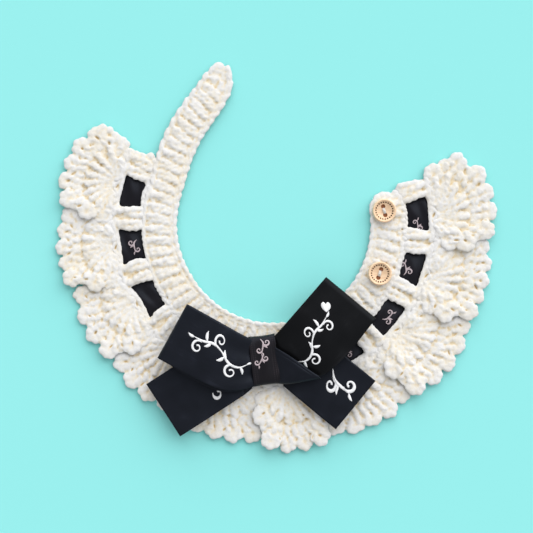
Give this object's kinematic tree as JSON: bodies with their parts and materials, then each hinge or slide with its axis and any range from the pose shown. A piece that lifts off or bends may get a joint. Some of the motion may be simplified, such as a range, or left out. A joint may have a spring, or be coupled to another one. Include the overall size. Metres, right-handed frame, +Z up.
{
  "type": "crochet pet collar",
  "caption": "Hand-crocheted cotton pet collar laid flat, with a scalloped ruffle, a button strap, a woven satin ribbon, a satin bow and wooden buttons.",
  "frame": {"origin": "bottom centre of the collar's box, on the surface that it lies on", "axes": "+Z up, to the collar's face side; +X along its longest side, towards the button end; +Y towards the tip of the strap, away from the bow"},
  "size_m": [0.2776, 0.2456, 0.0205],
  "materials": {
    "cotton_band": "plied cotton yarn, matte, warm white",
    "cotton_row": "plied cotton yarn, matte, warm white",
    "cotton_ruffle": "plied cotton yarn, matte, warm white",
    "satin_wide": "black satin ribbon with a white print of scrolls and hearts",
    "satin_narrow": "black satin ribbon with a small pink print of scrolls and hearts",
    "button_wood": "pale turned wood with a ring of small burnt dots",
    "sewing_thread": "white cotton thread"
  },
  "bodies": {
    "root": {"neckband": "cotton_band", "eyelet_row": "cotton_row", "woven_ribbon": "satin_narrow", "fan_01": "cotton_ruffle", "fan_02": "cotton_ruffle", "fan_03": "cotton_ruffle", "fan_04": "cotton_ruffle", "fan_05": "cotton_ruffle", "fan_06": "cotton_ruffle", "fan_07": "cotton_ruffle", "fan_08": "cotton_ruffle", "fan_09": "cotton_ruffle", "fan_10": "cotton_ruffle", "bow_tail_left": "satin_wide", "bow_tail_right": "satin_wide", "bow_loop_left": "satin_wide", "bow_loop_right": "satin_wide", "bow_knot": "satin_narrow", "button_upper": "button_wood", "button_lower": "button_wood", "button_thread_upper": "sewing_thread", "button_thread_lower": "sewing_thread"}
  },
  "joints": []
}
